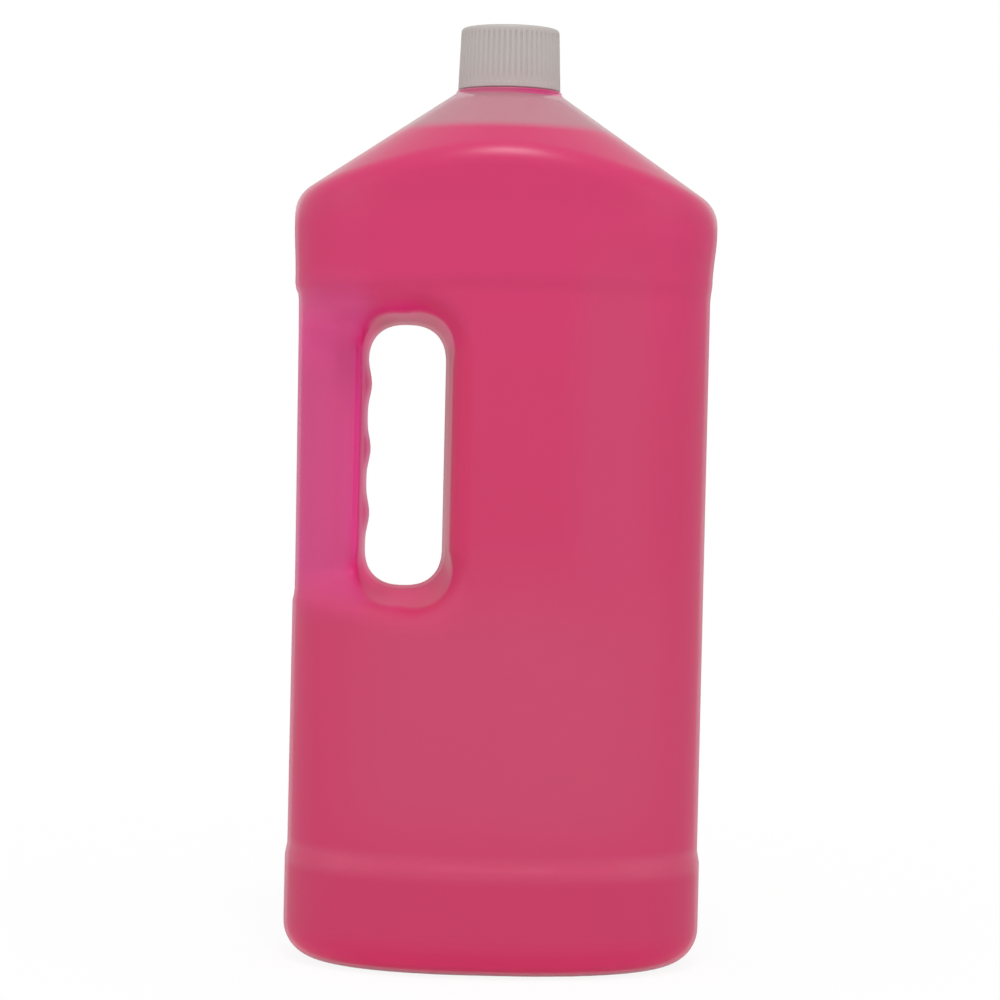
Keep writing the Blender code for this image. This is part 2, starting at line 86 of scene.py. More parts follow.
class BodySizes(bpy.types.PropertyGroup):
    """Sizes of the moulded body, as in the construction model."""

    plan_exponent: amount("Plan exponent", "Roundness of the plan, 2 is an ellipse", 2.2, 2, 4)
    band_proud: length("Base band", "How far the base band stands out at the sides", 0.0007)
    band_front: length("Base band front", "How much more it stands out at the front", 0.0010)
    band_top: length("Base band top", "Height of the base band", 0.0312)
    band_blend: length("Base band blend", "Height of its soft upper edge", 0.0042)
    shoulder_proud: length("Shoulder band", "How far the shoulder band stands out", 0.0012)
    shoulder_bottom: length("Shoulder band bottom", "Where the band begins", 0.2065)
    shoulder_blend: length("Shoulder band blend", "Height of its soft lower edge", 0.0060)
    bulge: length("Shoulder bulge", "Extra swell above the band's edge", 0.0005)
    bulge_blend: length("Bulge blend", "Height over which it swells", 0.0150)
    side_reach: length("Side reach", "Distance over which the band changes sideways", 0.0600)
    band_drop: length("Band drop", "How much lower the band starts on the handle's side", 0.0012)
    band_short: amount("Band shortening", "How much shorter its edge is there", 0.35)
    band_held: amount("Band held back", "Share of it that comes only with the bulge at +X", 0.5)
    corner_radius: length("Base corner", "Radius between the base and the wall", 0.0110)
    ring_width: length("Stand ring", "Width of the flat ring that it stands on", 0.0050)
    push_up: length("Push-up", "Height of the hollow under the base", 0.0025)
    push_up_slope: length("Push-up slope", "Width of the hollow's sloping edge", 0.0040)
    slope_top: length("Slope top", "Height where the shoulder meets the neck", 0.2695)
    slope_top_radius: length("Slope top radius", "Radius where it meets the neck", 0.0168)
    slope_lean: amount("Slope lean", "Fall of the whole shoulder towards +X", 0.009, -0.1, 0.1)
    slope_angle: bpy.props.FloatProperty(
        name="Slope", description="Fall of the shoulder", default=math.radians(34.4),
        subtype="ANGLE",
    )
    edge_radius: length("Shoulder edge", "Radius between the slope and the wall", 0.0100)
    wall: length("Wall", "Thickness of the moulded wall", 0.0011)
    fluid_gap: length("Fluid gap", "Air between the wall and the fluid's solid", 0.0004)
    fluid_climb: length("Fluid climb", "How far the fluid draws up the wall", 0.0012)
    climb_reach: length("Climb reach", "Distance from the wall over which it does", 0.0016)
    fluid_edge: length("Fluid edge", "Roundness of the fluid's upper edge", 0.0004)


class HandleSizes(bpy.types.PropertyGroup):
    """Sizes of the moulded handle and its finger hole."""

    width: length("Handle width", "Width of the grip column", 0.0222)
    thin: amount("Handle depth share", "Depth of the grip against the full body", 0.62)
    side_inset: length("Side inset", "How far the grip's outer side is set in", 0.0006)
    side_top: length("Side top", "Height where that inset has run out above", 0.2065)
    side_bottom: length("Side bottom", "Height where that inset ends below", 0.1105)
    side_blend: length("Side blend", "Height of the inset's end steps", 0.0035)
    top: length("Handle top", "Height where the grip joins the shoulder band", 0.2055)
    bottom: length("Handle bottom", "Height where the grip joins the body", 0.1085)
    top_blend: length("Top blend", "Height of the upper joining curve", 0.0110)
    bottom_blend: length("Bottom blend", "Height of the lower joining curve", 0.0130)
    inner_blend: length("Inner blend", "Width of the curve beside the hole", 0.0150)
    hole_width: length("Hole width", "Width at the mould's parting plane", 0.0241)
    hole_height: length("Hole height", "Height at the parting plane", 0.0812)
    hole_middle: length("Hole middle", "Height of its centre", 0.1568)
    hole_square: amount("Hole squareness", "Squareness of its ends, 2 is round", 2.45, 2, 4)
    side_flare: length("Body side draft", "Draft of the hole on the body's side", 0.0034)
    top_flare: length("Top draft", "Draft of the hole's upper end", 0.0030)
    bottom_flare: length("Bottom draft", "Draft of the hole's lower end", 0.0062)
    rounding: length("Grip rounding", "How far the grip rounds away from the hole", 0.0022)
    rounding_depth: length("Rounding depth", "Depth over which it rounds", 0.0300)
    rim_radius: length("Rim radius", "Roundness of the hole's outer rim", 0.0070)
    grip_radius: length("Grip radius", "Roundness of the grip beside the hole", 0.0110)
    round_in_low: length("Grip rounding below", "Height over which it starts", 0.0180)
    round_in_high: length("Grip rounding above", "Height over which it ends", 0.0140)
    ridge: length("Finger ridge", "Height of the finger ridges", 0.0012)
    ridge_sharp: amount("Ridge sharpness", "1 is a plain wave", 1.6, 1, 4)
    pitch: length("Finger pitch", "Distance between finger ridges", 0.0202)
    ridge_middle: length("Ridge middle", "Height of the middle ridge", 0.1585)
    fade: length("Ridge fade", "Depth at which the ridges fade out", 0.0110)


class NeckSizes(bpy.types.PropertyGroup):
    """Sizes of the screw neck and the cap."""

    radius: length("Neck radius", "Outside of the neck", 0.0126)
    bore: length("Bore radius", "Inside of the neck", 0.0109)
    ledge_rise: length("Ledge rise", "Height of the ledge over the slope's top", 0.00125)
    root_wall: length("Root wall", "Thickness under the ledge", 0.00275)
    pitch: length("Thread pitch", "Rise of the thread in one turn", 0.00423)
    thread_height: length("Thread height", "How far the thread stands out", 0.0011)
    thread_root: length("Thread root", "Width of the thread at the wall", 0.0020)
    thread_crest: length("Thread crest", "Width of the thread's crest", 0.0010)
    thread_start: length("Thread start", "Height of its start above the ledge", 0.00575)
    neck_turns: amount("Neck turns", "Turns of thread on the neck", 1.75, 0, 5)
    cap_turns: amount("Cap turns", "Turns of thread in the cap", 1.5, 0, 5)
    clearance: length("Thread clearance", "Air outside the neck's crests", 0.00035)
    cap_top_radius: length("Cap top radius", "Radius over the ribs at the top", 0.0153)
    cap_edge: length("Cap edge", "Radius of the cap's top edge", 0.0011)
    cap_band: length("Cap band", "Height of the plain lower band", 0.0016)
    cap_plain: length("Cap plain top", "Height of the plain part above the ribs", 0.0020)
    cap_roof: length("Cap roof", "Thickness of the cap's top", 0.0015)
    ribs: bpy.props.IntProperty(name="Ribs", description="Ribs round the cap", default=56, min=3)
    rib_depth: length("Rib depth", "Depth of the grooves between ribs", 0.00032)


class FinishColours(bpy.types.PropertyGroup):
    """Colours and levels of the finishes."""

    upper: tint("Upper wall", "Wet wall at the shoulder", (0.690, 0.040, 0.162))
    shoulder: tint("Shoulder wall", "Wet wall of the shoulder band", (0.712, 0.058, 0.182))
    middle: tint("Middle wall", "Wet wall at mid height", (0.682, 0.061, 0.166))
    lower: tint("Lower wall", "Wet wall in the paler patch low on the panel", (0.656, 0.090, 0.184))
    base: tint("Base wall", "Wet wall of the base band", (0.662, 0.060, 0.160))
    # Painted light: the foot's colour is brightened to stand for light bounced up from the floor.
    foot: tint("Foot", "Rounded foot, lit from the floor", (0.790, 0.046, 0.170))
    # The grip's lighter magenta is partly its thinner fluid and partly painted light passing
    # through it from behind.
    grip: tint("Grip wall", "Wall of the thin grip column", (0.712, 0.090, 0.268))
    # Painted light: the grip beside the hole is brightened, standing for light through its thin
    # wall into the hole's shade.
    grip_inner_light: tint("Grip beside the hole", "Thin wall that light passes", (0.740, 0.090, 0.284))
    # Painted light: the grip's top is brightened against the shade of the shoulder band's overhang.
    grip_top_painted_light: tint("Grip top", "Grip under the shoulder band", (0.830, 0.094, 0.310))
    # Around the hole the colours are painted: a paler margin for the haze of the wall seen edge on,
    # and brighter pink on the grip's side and at the hole's ends against the shade there.
    rim: tint("Hole rim", "Thick wall around the hole", (0.700, 0.073, 0.170))
    rim_end_light: tint("Rim ends", "Wall over and under the hole", (0.860, 0.012, 0.212))
    grip_rim_light: tint("Grip rim", "Grip's wall inside the hole", (0.740, 0.045, 0.245))
    beside: tint("Beside the hole", "Body wall beside the hole", (0.686, 0.048, 0.146))
    pale: tint("Pale band", "Soft upright band right of the middle", (0.672, 0.075, 0.180))
    dry: tint("Dry wall", "Wall over the headspace", (0.580, 0.232, 0.292))
    bloom: tint("Bloom", "Milky haze at grazing angles", (0.62, 0.56, 0.55))
    slope_bloom: tint("Slope bloom", "Haze of the thick plastic of the slope", (0.88, 0.85, 0.82))
    glow: tint("Grip glow", "Light that passes through the grip", (0.160, 0.008, 0.074))
    film: tint("Film", "Bright fluid film at the neck's root", (0.78, 0.050, 0.240))
    fluid: tint("Fluid", "Fluid seen through the wall", (0.620, 0.010, 0.100))
    cap: tint("Cap", "White cap plastic", (0.436, 0.402, 0.382))
    # Painted light: pink light bounced from the fluid onto the cap's lower part.
    cap_fluid_bounce: tint("Cap shade", "Cap plastic low down, lit by the fluid", (0.436, 0.358, 0.352))
    liner: tint("Liner", "Foam liner", (0.800, 0.790, 0.760))
    floor: tint("Floor", "Floor and backdrop", (0.930, 0.930, 0.930))
    wall_opacity: amount("Wall opacity", "Opacity of each skin over the fluid", 0.72)
    dry_opacity: amount("Dry opacity", "Opacity of each skin over air", 0.62)


class StageSettings(bpy.types.PropertyGroup):
    """Camera and light settings."""

    distance: length("Camera distance", "From the bottle's middle plane", 1.00)
    eye_height: length("Eye height", "Height of the camera", 0.1653)
    frame_width: length("Frame width", "Width that the picture covers at the bottle", 0.3130)
    roll: bpy.props.FloatProperty(
        name="Roll", description="Lean of the bottle in the picture", default=math.radians(1.3),
        subtype="ANGLE",
    )
    world_light: amount("World light", "Strength of the even sky", 0.74, 0, 5)
    key_power: amount("Key power", "Power of the large front light", 10.5, 0, 500)
    fill_power: amount("Fill power", "Power of the side lights", 1.9, 0, 500)


class BottleSettings(bpy.types.PropertyGroup):
    """All settings of the dressed bottle."""

    body: bpy.props.PointerProperty(type=BodySizes)
    handle: bpy.props.PointerProperty(type=HandleSizes)
    neck: bpy.props.PointerProperty(type=NeckSizes)
    finish: bpy.props.PointerProperty(type=FinishColours)
    stage: bpy.props.PointerProperty(type=StageSettings)
    shell_cell: length("Shell cell", "Mesh size of the outer skin", 0.0018)
    inside_cell: length("Inside cell", "Mesh size of the inner skin and the fluid", 0.0022)


def settings():
    return bpy.context.scene.cleaner_bottle


# Forms written as fields that are negative inside


def smooth_step(value):
    value = np.clip(value, 0.0, 1.0)
    return value * value * (3 - 2 * value)


def round_meet(first, second, radius, lean=0.0):
    """Overlap of two forms, with a round edge where they meet.

    lean is the cosine of the angle between their outward directions.
    """
    one, two = first + radius, second + radius
    square = (one * one + two * two - 2 * lean * one * two) / (1 - lean * lean)
    inside = (one > lean * two) & (two > lean * one) & (one + two > 0)
    arc_level = np.sqrt(np.maximum(square, 0)) - radius
    return np.where(inside, arc_level, np.maximum(first, second))


def proud(x, z):
    """How far the wall stands out of the label panel; the band swells slower towards +X."""
    body = settings().body
    base = smooth_step((body.band_top + body.band_blend - z) / body.band_blend)
    leftward = smooth_step(-x / body.side_reach)
    band_blend = body.shoulder_blend * (1 - body.band_short * leftward)
    band = smooth_step((z - body.shoulder_bottom + body.band_drop * leftward) / band_blend)
    bulge_start = body.shoulder_bottom + body.shoulder_blend
    bulge = smooth_step((z - bulge_start) / body.bulge_blend)
    held_back = body.shoulder_proud * body.band_held * smooth_step(x / body.side_reach)
    swell = (body.shoulder_proud - held_back) * band + (body.bulge + held_back) * bulge
    return body.band_proud * base + swell, body.band_front * base


def panel_half_size():
    """Half width and half depth of the label panel, from the model's box."""
    body = settings().body
    swell = body.shoulder_proud + body.bulge
    return BOTTLE_HIGH[0] - swell, BOTTLE_HIGH[1] - swell


def handle_inner_x():
    return settings().handle.width - panel_half_size()[0]


def wall_field(x, y, z):
    """The upright wall: a rounded oval, thinned and set in along the grip."""
    body, handle = settings().body, settings().handle
    half_width, half_depth = panel_half_size()
    top = smooth_step((handle.top - z) / handle.top_blend)
    bottom = smooth_step((z - handle.bottom) / handle.bottom_blend)
    side = smooth_step((handle_inner_x() + handle.inner_blend / 2 - x) / handle.inner_blend)
    share = top * bottom * side
    side_in = smooth_step((handle.side_top - z) / handle.side_blend)
    side_in = side_in * smooth_step((z - handle.side_bottom) / handle.side_blend)
    below_top = (handle.side_top - z) / (handle.side_top - handle.side_bottom)
    side_in = side_in * np.clip(below_top, 0, 1)
    out, front = proud(x, z)
    wide = half_width + out
    deep = half_depth + out + front
    across = np.abs(x - handle.side_inset * side_in * side) / wide
    through = np.abs(y) / (deep * (1 - (1 - handle.thin) * share))
    level = (across**body.plan_exponent + through**body.plan_exponent) ** (1 / body.plan_exponent)
    return (level - 1) * np.hypot(x, y) / np.maximum(level, 1e-6)


def slope_field(x, y, z):
    """The cone of the shoulder."""
    body = settings().body
    away = np.hypot(x, y) - body.slope_top_radius
    rise = z - body.slope_top + body.slope_lean * x
    return rise * math.cos(body.slope_angle) + away * math.sin(body.slope_angle)


def hole_field(x, y, z):
    """The finger hole: negative inside it, with draft, grip rounding and finger ridges."""
    handle = settings().handle
    half_depth = panel_half_size()[1]
    radius = handle.hole_width / 2
    straight = handle.hole_height / 2 - radius
    local_x = x - handle_inner_x() - radius
    local_z = z - handle.hole_middle
    depth = np.abs(y) / half_depth
    past = np.maximum(np.abs(local_z) - straight, 0)
    span = np.maximum(np.hypot(local_x, past), 1e-6)
    right, up = local_x / span, past / span
    square = handle.hole_square
    reach = (np.abs(local_x) ** square + past**square) ** (1 / square)
    end_flare = np.where(local_z > 0, handle.top_flare, handle.bottom_flare)
    side = smooth_step(0.5 + local_x / radius / 0.8)
    grip_flare = handle.rounding * smooth_step(np.abs(y) / handle.rounding_depth)
    side_flare = handle.side_flare * depth * side + grip_flare * (1 - side)
    along = z - handle.ridge_middle
    wave = (0.5 + 0.5 * np.cos(2 * math.pi * along / handle.pitch)) ** handle.ridge_sharp
    near = smooth_step(1 - np.abs(y) / handle.fade)
    ridge_share = (np.abs(along) < 1.5 * handle.pitch) * (1 - side) * near
    ridges = handle.ridge * wave * ridge_share * np.abs(right)
    flare = side_flare * np.abs(right) + end_flare * depth * up
    return reach - radius - flare + ridges


def body_field(x, y, z):
    """The outside of the body, without its neck."""
    body, handle = settings().body, settings().handle
    lean = math.sin(body.slope_angle)
    solid = round_meet(wall_field(x, y, z), slope_field(x, y, z), body.edge_radius, lean)
    solid = round_meet(solid, push_up_field(x, y, z), body.corner_radius)
    across = (x - handle_inner_x()) / handle.hole_width
    grip_side = smooth_step((0.6 - across) / 0.5)
    level = smooth_step((z - handle.bottom) / handle.round_in_low)
    level = level * smooth_step((handle.top - z) / handle.round_in_high)
    rim = handle.rim_radius + (handle.grip_radius - handle.rim_radius) * grip_side * level
    return round_meet(solid, -hole_field(x, y, z), rim)


def push_up_field(x, y, z):
    """The underside: a flat stand ring around a shallow hollow."""
    body = settings().body
    half_width, half_depth = panel_half_size()
    ring = body.corner_radius + body.ring_width
    wide = half_width + body.band_proud - ring
    deep = half_depth + body.band_proud + body.band_front - ring
    power = body.plan_exponent
    level = ((np.abs(x) / wide) ** power + (np.abs(y) / deep) ** power) ** (1 / power)
    inward = (1 - level) * np.hypot(x, y) / np.maximum(level, 1e-6)
    return body.push_up * smooth_step(inward / body.push_up_slope) - z


def skin_field(x, y, z):
    """The outside of the body, cut level under the neck."""
    body, neck = settings().body, settings().neck
    return np.maximum(body_field(x, y, z), z - body.slope_top - neck.ledge_rise)


def inside_field(x, y, z):
    """The inside of the wall."""
    body, neck = settings().body, settings().neck
    root = body.slope_top + neck.ledge_rise - neck.root_wall
    return np.maximum(body_field(x, y, z) + body.wall, z - root)


def fluid_field(x, y, z):
    """The fluid, with its edge drawn up a little where it wets the wall."""
    body = settings().body
    inside = body_field(x, y, z) + body.wall + body.fluid_gap
    climb = body.fluid_climb * np.exp(np.minimum(inside, 0) / body.climb_reach)
    surface = z - FLUID_HIGH[2] + body.fluid_climb - climb
    return round_meet(inside, surface, body.fluid_edge)


# Meshes from fields


def gradient(field, points, step):
    """Slope of a field at each point."""
    slopes = []
    for axis in range(3):
        shift = np.zeros(3)
        shift[axis] = step
        ahead = field(*(points + shift).T)
        behind = field(*(points - shift).T)
        slopes.append((ahead - behind) / (2 * step))
    return np.stack(slopes, axis=1)


def settle(field, points, step, rounds):
    """Move points onto the field's zero surface."""
    for _ in range(rounds):
        slope = gradient(field, points, step)
        value = field(*points.T)
        steepness = np.maximum((slope**2).sum(axis=1), 0.05)
        move = (value / steepness)[:, None] * slope
        size = np.linalg.norm(move, axis=1, keepdims=True)
        points = points - move * np.minimum(1.0, 0.0015 / np.maximum(size, 1e-9))
    return points


def net_from_field(field, low, high, cell):
    """Even four-sided net over the zero surface of a field, as points and faces."""
    axes = [np.arange(low[axis], high[axis] + cell, cell) for axis in range(3)]
    grid = np.meshgrid(*axes, indexing="ij")
    inside = field(*grid) < 0
    counts = [size - 1 for size in inside.shape]
    corner_sum = np.zeros(counts, dtype=np.int8)
    for dx in (0, 1):
        for dy in (0, 1):
            for dz in (0, 1):
                part = inside[dx : dx + counts[0], dy : dy + counts[1], dz : dz + counts[2]]
                corner_sum += part
    active = (corner_sum > 0) & (corner_sum < 8)
    number = np.full(active.shape, -1, dtype=np.int64)
    number[active] = np.arange(active.sum())
    cells = np.argwhere(active)
    points = np.array(low) + (cells + 0.5) * cell
    faces = []
    for axis in range(3):
        one, two = (axis + 1) % 3, (axis + 2) % 3
        ahead = np.take(inside, range(1, inside.shape[axis]), axis=axis)
        here = np.take(inside, range(0, inside.shape[axis] - 1), axis=axis)
        for outward in (True, False):
            crossing = here & ~ahead if outward else ahead & ~here
            edges = np.argwhere(crossing)
            keep = (edges[:, one] > 0) & (edges[:, two] > 0)
            keep &= edges[:, one] < inside.shape[one] - 1
            keep &= edges[:, two] < inside.shape[two] - 1
            edges = edges[keep]
            loop = []
            for back_one, back_two in ((1, 1), (0, 1), (0, 0), (1, 0)):
                corner = edges.copy()
                corner[:, one] -= back_one
                corner[:, two] -= back_two
                loop.append(number[corner[:, 0], corner[:, 1], corner[:, 2]])
            quads = np.stack(loop, axis=1)
            faces.append(quads if outward else quads[:, ::-1])
    faces = np.concatenate(faces)
    points = settle(field, points, cell / 8, 4)
    for _ in range(2):
        points = relax(points, faces)
        points = settle(field, points, cell / 8, 2)
    return points, faces


def relax(points, faces):
    """Pull each point halfway to the middle of its neighbours."""
    total = np.zeros_like(points)
    count = np.zeros(len(points))
    for start in range(4):
        first, second = faces[:, start], faces[:, (start + 1) % 4]
        np.add.at(total, first, points[second])
        np.add.at(total, second, points[first])
        np.add.at(count, first, 1)
        np.add.at(count, second, 1)
    middle = total / np.maximum(count, 1)[:, None]
    return points + 0.5 * (middle - points)


def mesh_object(name, points, faces):
    mesh = bpy.data.meshes.new(name)
    mesh.from_pydata([tuple(point) for point in points], [], [tuple(face) for face in faces])
    mesh.validate()
    mesh.shade_smooth()
    obj = bpy.data.objects.new(name, mesh)
    bpy.context.scene.collection.objects.link(obj)
    return obj


def ring_points(radius, z, count):
    """Points round one level; the radius is one number or one for each point."""
    angles = 2 * math.pi * np.arange(count) / count
    return np.stack([radius * np.cos(angles), radius * np.sin(angles), np.full(count, z)], 1)


def lathe(name, profile, segments=160):
    """Solid of revolution from a closed half profile of radius and height, top to bottom."""
    rings = [ring_points(radius, z, segments) for radius, z in profile]
    points = np.concatenate(rings)
    faces = []
    for level in range(len(profile) - 1):
        for index in range(segments):
            after = (index + 1) % segments
            high, low = level * segments, (level + 1) * segments
            faces.append((low + index, low + after, high + after, high + index))
    faces.append(tuple(range(segments)))
    faces.append(tuple(reversed(range(len(points) - segments, len(points)))))
    return mesh_object(name, points, faces)


def arc(centre, radius, start, end, steps):
    """Points on an arc in the radius and height plane, angles in degrees."""
    points = []
    for step in range(steps + 1):
        angle = math.radians(start + (end - start) * step / steps)
        points.append((centre[0] + radius * math.cos(angle), centre[1] + radius * math.sin(angle)))
    return points


def helix_ridge(name, wall_radius, outward, start_z, turns):
    """Rounded helical thread whose ends run out into the wall."""
    neck = settings().neck
    sink = 0.0004
    steps = round(turns * 96)
    section_angles = [-0.5, -0.42, -0.25, 0.25, 0.42, 0.5]
    rings = []
    for step in range(steps + 1):
        turn = turns * step / steps
        risen = float(smooth_step(min(turn, turns - turn) / 0.12))
        height = neck.thread_height * risen - sink / 2 * (1 - risen)
        angle = math.radians(4) + 2 * math.pi * turn
        middle = start_z + neck.pitch * turn
        outline = [
            (-sink, -neck.thread_root / 2),
            (height * 0.80, -neck.thread_crest / 2 - 0.00012),
            (height, -neck.thread_crest / 2 + 0.0002),
            (height, neck.thread_crest / 2 - 0.0002),
            (height * 0.80, neck.thread_crest / 2 + 0.00012),
            (-sink, neck.thread_root / 2),
        ]
        if outward > 0:
            outline.reverse()
        ring = []
        for rise, z in outline:
            radius = wall_radius + rise * outward
            ring.append((radius * math.cos(angle), radius * math.sin(angle), middle + z))
        rings.append(ring)
    count = len(rings[0])
    points = [point for ring in rings for point in ring]
    faces = [tuple(reversed(range(count)))]
    for level in range(len(rings) - 1):
        for index in range(count):
            after = (index + 1) % count
            low, high = level * count, (level + 1) * count
            faces.append((low + index, low + after, high + after, high + index))
    faces.append(tuple(range(len(points) - count, len(points))))
    return mesh_object(name, points, faces)


def combine(obj, other, operation, solver="MANIFOLD"):
    """Apply a Boolean and remove the second object."""
    modifier = obj.modifiers.new("Join", "BOOLEAN")
    modifier.operation = operation
    modifier.solver = solver
    modifier.object = other
    view = bpy.context.evaluated_depsgraph_get()
    mesh = bpy.data.meshes.new_from_object(obj.evaluated_get(view))
    obj.modifiers.clear()
    obj.data = mesh
    bpy.data.objects.remove(other)


def soften(obj, degrees):
    """Smooth shading with sharp edges only past this angle."""
    obj.data.shade_smooth()
    obj.data.set_sharp_from_angle(angle=math.radians(degrees))


# Materials


class Wire:
    """A node socket that takes part in sums, so shader maths reads as an expression."""

    def __init__(self, board, socket):
        self.board = board
        self.socket = socket

    def _math(self, operation, first, second):
        return self.board.add("ShaderNodeMath", {"operation": operation}, {0: first, 1: second})

    def __add__(self, other):
        return self._math("ADD", self, other)

    def __radd__(self, other):
        return self._math("ADD", other, self)

    def __sub__(self, other):
        return self._math("SUBTRACT", self, other)

    def __rsub__(self, other):
        return self._math("SUBTRACT", other, self)

    def __mul__(self, other):
        return self._math("MULTIPLY", self, other)

    def __rmul__(self, other):
        return self._math("MULTIPLY", other, self)

    def __truediv__(self, other):
        return self._math("DIVIDE", self, other)

    def __rtruediv__(self, other):
        return self._math("DIVIDE", other, self)

    def __pow__(self, other):
        return self._math("POWER", self, other)

    def __abs__(self):
        return self.board.add("ShaderNodeMath", {"operation": "ABSOLUTE"}, {0: self})


class Board:
    """The node tree of a material or of the world."""

    def __init__(self, owner):
        owner.use_nodes = True
        self.tree = owner.node_tree
        self.tree.nodes.clear()

    def add(self, kind, options=None, sockets=None, out=0):
        """Add a node with its settings and sockets, and return one output as a Wire."""
        node = self.tree.nodes.new(kind)
        for key, value in (options or {}).items():
            setattr(node, key, value)
        for key, value in (sockets or {}).items():
            self.feed(node.inputs[key], value)
        return Wire(self, node.outputs[out]) if node.outputs else None

    def feed(self, socket, value):
        if isinstance(value, Wire):
            self.tree.links.new(value.socket, socket)
        elif hasattr(socket.default_value, "__len__") and len(value) < len(socket.default_value):
            socket.default_value = (*value, 1.0)
        else:
            socket.default_value = value

    def place(self):
        """Object position in metres as three Wires."""
        coords = self.add("ShaderNodeTexCoord", out=3)
        return coords, [
            self.add("ShaderNodeSeparateXYZ", None, {0: coords}, axis) for axis in range(3)
        ]

    def noise(self, coords, scale, detail=3.0, roughness=0.5, stretch=None):
        if stretch:
            coords = self.add(
                "ShaderNodeVectorMath", {"operation": "MULTIPLY"}, {0: coords, 1: stretch}
            )
        return self.add(
            "ShaderNodeTexNoise",
            {"noise_dimensions": "3D"},
            {"Vector": coords, "Scale": scale, "Detail": detail, "Roughness": roughness},
        )

    def step(self, value, low, high):
        """0 below low, 1 above high, soft between."""
        return self.add(
            "ShaderNodeMapRange",
            {"interpolation_type": "SMOOTHSTEP", "clamp": True},
            {0: value, 1: low, 2: high, 3: 0.0, 4: 1.0},
        )

    def mix(self, factor, first, second):
        """Mix of two colours."""
        return self.add("ShaderNodeMix", {"data_type": "RGBA"}, {0: factor, 6: first, 7: second}, 2)

    def bump(self, height, strength, distance):
        return self.add(
            "ShaderNodeBump", None, {"Height": height, "Strength": strength, "Distance": distance}
        )

    def larger(self, first, second):
        return self.add("ShaderNodeMath", {"operation": "MAXIMUM"}, {0: first, 1: second})

    def plastic(self, **values):
        """A surface shader with these sockets, named with underscores for spaces."""
        sockets = {key.replace("_", " "): value for key, value in values.items()}
        return self.add("ShaderNodeBsdfPrincipled", None, sockets)

    def blend(self, factor, first, second):
        """Mix of two shaders."""
        return self.add("ShaderNodeMixShader", None, {0: factor, 1: first, 2: second})

    def finish(self, surface, kind="ShaderNodeOutputMaterial"):
        self.add(kind, None, {"Surface": surface})


def wear_material(obj, material):
    obj.data.materials.clear()
    obj.data.materials.append(material)


# Zones of the wall's colours, in metres
SHOULDER_FADE = (0.165, 0.222)
SLOPE_FADE = (0.2265, 0.2350)
PATCH_X, PATCH_Z, PATCH_SOFT = (-0.046, 0.050), (0.040, 0.118), 0.040
BASE_FADE = (0.030, 0.038)
FLOOR_BOUNCE_FADE = (0.002, 0.014)
BAND_X, BAND_Z = (0.023, 0.044), (0.110, 0.215)
GRIP_FADE_X, GRIP_Z, GRIP_TOP_Z = (-0.046, -0.038), (0.113, 0.206), (0.185, 0.203)
BASE_EDGE_Z = (0.0300, 0.0365)
FILM_RADIUS = (0.0150, 0.0176)
BESIDE_HOLE = (0.0035, 0.0085)


def window(board, value, low, high, soft):
    """1 between low and high, with soft ends."""
    rise = board.step(value, low - soft / 2, low + soft / 2)
    return rise * (1 - board.step(value, high - soft / 2, high + soft / 2))


def wet_wall_colour(board, coords, x, z):
    """Pink of the wall with fluid behind it by place, with painted light on the foot, the grip and
    around the hole, painted haze at the hole's margin, and the share of the grip's painted glow.
    """
    colours, handle = settings().finish, settings().handle
    cloud = board.noise(coords, 9.0, 2.0, 0.5, (1.0, 1.0, 0.35)) - 0.5
    colour = board.mix(board.step(z, *SHOULDER_FADE), colours.middle, colours.shoulder)
    colour = board.mix(board.step(z, *SLOPE_FADE), colour, colours.upper)
    patch = window(board, x, *PATCH_X, PATCH_SOFT) * window(board, z, *PATCH_Z, PATCH_SOFT)
    colour = board.mix(patch * 0.75 + cloud * 0.5, colour, colours.lower)
    colour = board.mix(1 - board.step(z, *BASE_FADE), colour, colours.base)
    # Painted bounce light from the floor, brightening the rounded foot.
    colour = board.mix(1 - board.step(z, *FLOOR_BOUNCE_FADE), colour, colours.foot)
    band = window(board, x, *BAND_X, 0.014) * window(board, z, *BAND_Z, 0.050)
    colour = board.mix(band * 0.9, colour, colours.pale)
    radius = handle.hole_width / 2
    aside = x - (handle_inner_x() + radius)
    past = board.larger(abs(z - handle.hole_middle) - (handle.hole_height / 2 - radius), 0.0)
    away = (aside * aside + past * past) ** 0.5 - radius
    right = board.step(aside, -0.004, 0.006)
    beside = window(board, away, *BESIDE_HOLE, 0.003) * right
    colour = board.mix(beside * 0.8, colour, colours.beside)
    # The grip column's colour: partly its thinner fluid, partly painted light passing through it.
    grip = (1 - board.step(x, *GRIP_FADE_X)) * window(board, z, *GRIP_Z, 0.022)
    colour = board.mix(grip, colour, colours.grip)
    # Painted light lifting the shade under the shoulder band's overhang at the grip's top.
    overhang_light = grip * window(board, z, *GRIP_TOP_Z, 0.014)
    colour = board.mix(overhang_light * 0.8, colour, colours.grip_top_painted_light)
    # Painted light on the grip beside the hole, lifting the shade that falls there.
    left = 1 - board.step(aside, -0.0125, -0.0060)
    inner = left * 0.8 * (1 - board.step(away, 0.0010, 0.0130))
    colour = board.mix(inner, colour, colours.grip_inner_light)
    # Painted haze on the hole's margin, and painted light on the grip's rim and the hole's ends.
    rim = board.mix(right, colours.grip_rim_light, colours.rim)
    end = board.step(past, 0.0010, 0.0070)
    rim = board.mix(end, rim, colours.rim_end_light)
    near = 1 - board.step(away / (1 + end * 0.6), 0.0008, 0.0052)
    return board.mix(near * 0.85, colour, rim), left * (1 - board.step(away, 0.0014, 0.0045))


